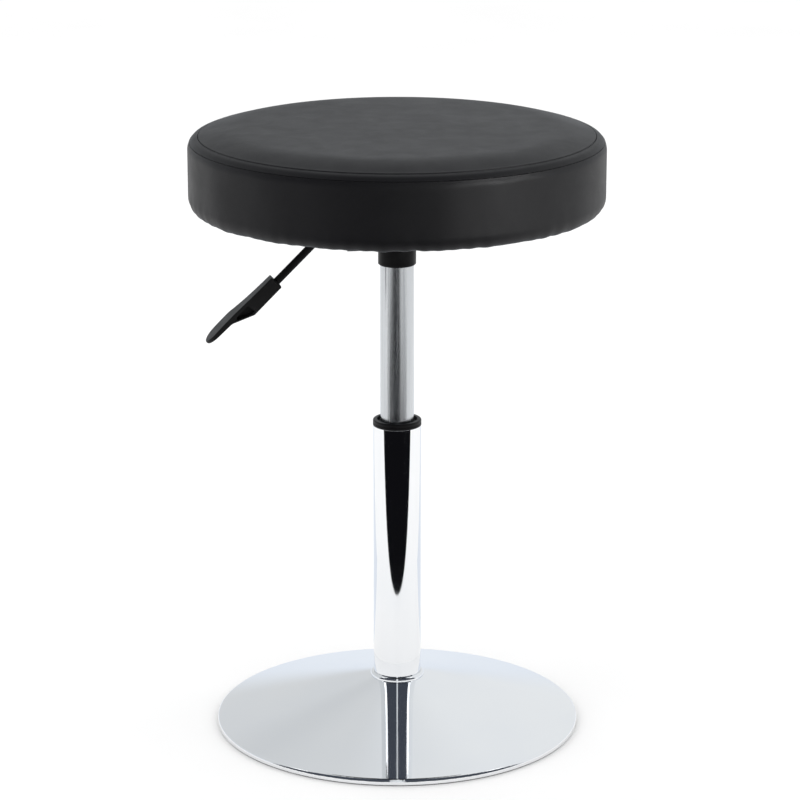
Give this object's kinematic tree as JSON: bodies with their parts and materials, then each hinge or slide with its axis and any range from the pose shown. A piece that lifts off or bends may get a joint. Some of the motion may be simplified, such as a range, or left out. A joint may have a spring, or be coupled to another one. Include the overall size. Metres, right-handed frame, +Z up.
{
  "type": "adjustable swivel stool",
  "caption": "Height-adjustable swivel stool with a round padded seat, gas-lift column, release lever and round dish base.",
  "frame": {"origin": "on the floor at the centre of the base, with the seat at its highest", "axes": "+Z up along the column; the release lever points along -X"},
  "size_m": [0.43, 0.43, 0.638],
  "materials": {
    "chrome": "polished",
    "satin_steel": "satin",
    "bright_steel": "satin",
    "raw_steel": "satin",
    "black_steel": "satin",
    "aluminium": "satin",
    "black_plastic": "satin",
    "grip_plastic": "satin",
    "white_nylon": "satin",
    "grey_rubber": "matte",
    "black_rubber": "matte",
    "plywood": "matte",
    "foam": "matte",
    "seat_leather": "satin",
    "dust_cloth": "matte"
  },
  "bodies": {
    "base": {"base_dish": "chrome", "floor_ring": "grey_rubber", "base_plate": "raw_steel", "column_flange": "raw_steel", "base_bolts": "bright_steel", "column_tube": "chrome", "trim_ring": "chrome", "guide_bush": "black_plastic", "column_end_cup": "raw_steel", "lower_bearing_washer": "bright_steel"},
    "ball_cage": {"ball_cage": "white_nylon", "bearing_balls": "bright_steel"},
    "rod": {"upper_bearing_washer": "bright_steel", "piston_rod": "bright_steel", "clip_washer": "bright_steel", "retaining_clip": "bright_steel", "bump_stop": "black_rubber", "piston": "aluminium", "piston_seal": "black_rubber", "piston_nut": "bright_steel"},
    "seat_lift": {"lift_tube": "satin_steel", "gas_cylinder": "raw_steel", "end_cap": "raw_steel", "rod_guide": "white_nylon", "rod_seal": "black_rubber", "seal_retainer": "raw_steel", "valve_body": "aluminium", "valve_seals": "black_rubber", "taper_socket": "black_steel", "bracket_channel": "black_steel", "seat_plate": "black_steel", "lever_pivot_pin": "bright_steel", "pivot_clip": "bright_steel", "seat_board": "plywood", "tee_nuts": "bright_steel", "seat_bolts": "bright_steel", "seat_washers": "bright_steel", "seat_foam": "foam", "seat_cover": "seat_leather", "cover_staples": "bright_steel", "dust_cover": "dust_cloth", "dust_cover_staples": "bright_steel"},
    "lever": {"lever_rod": "black_steel", "pivot_block": "white_nylon", "lever_grip": "grip_plastic"},
    "valve_pin": {"valve_pin": "bright_steel"}
  },
  "joints": [
    {"name": "swivel", "type": "hinge", "parent": "base", "child": "rod", "pos_m": [0, 0, 0.017], "axis": [0, 0, 1], "continuous": true},
    {"name": "cage_spin", "type": "hinge", "parent": "base", "child": "ball_cage", "pos_m": [0, 0, 0.017], "axis": [0, 0, 1], "continuous": true},
    {"name": "lift", "type": "slide", "parent": "rod", "child": "seat_lift", "axis": [0, 0, 1], "range_m": [-0.14, 0]},
    {"name": "lever_pivot", "type": "hinge", "parent": "seat_lift", "child": "lever", "pos_m": [-0.032, 0, 0.54], "axis": [0, 1, 0], "range_deg": [0, 8], "stiffness_Nm_per_rad": 6, "springref_deg": -11.46},
    {"name": "valve_pin_press", "type": "slide", "parent": "seat_lift", "child": "valve_pin", "axis": [0, 0, 1], "range_m": [-0.0045, 0]}
  ],
  "couplings": [
    {"joint": "cage_spin", "follows": "swivel", "ratio": 0.5},
    {"joint": "valve_pin_press", "follows": "lever_pivot", "m_per_rad": -0.032}
  ]
}
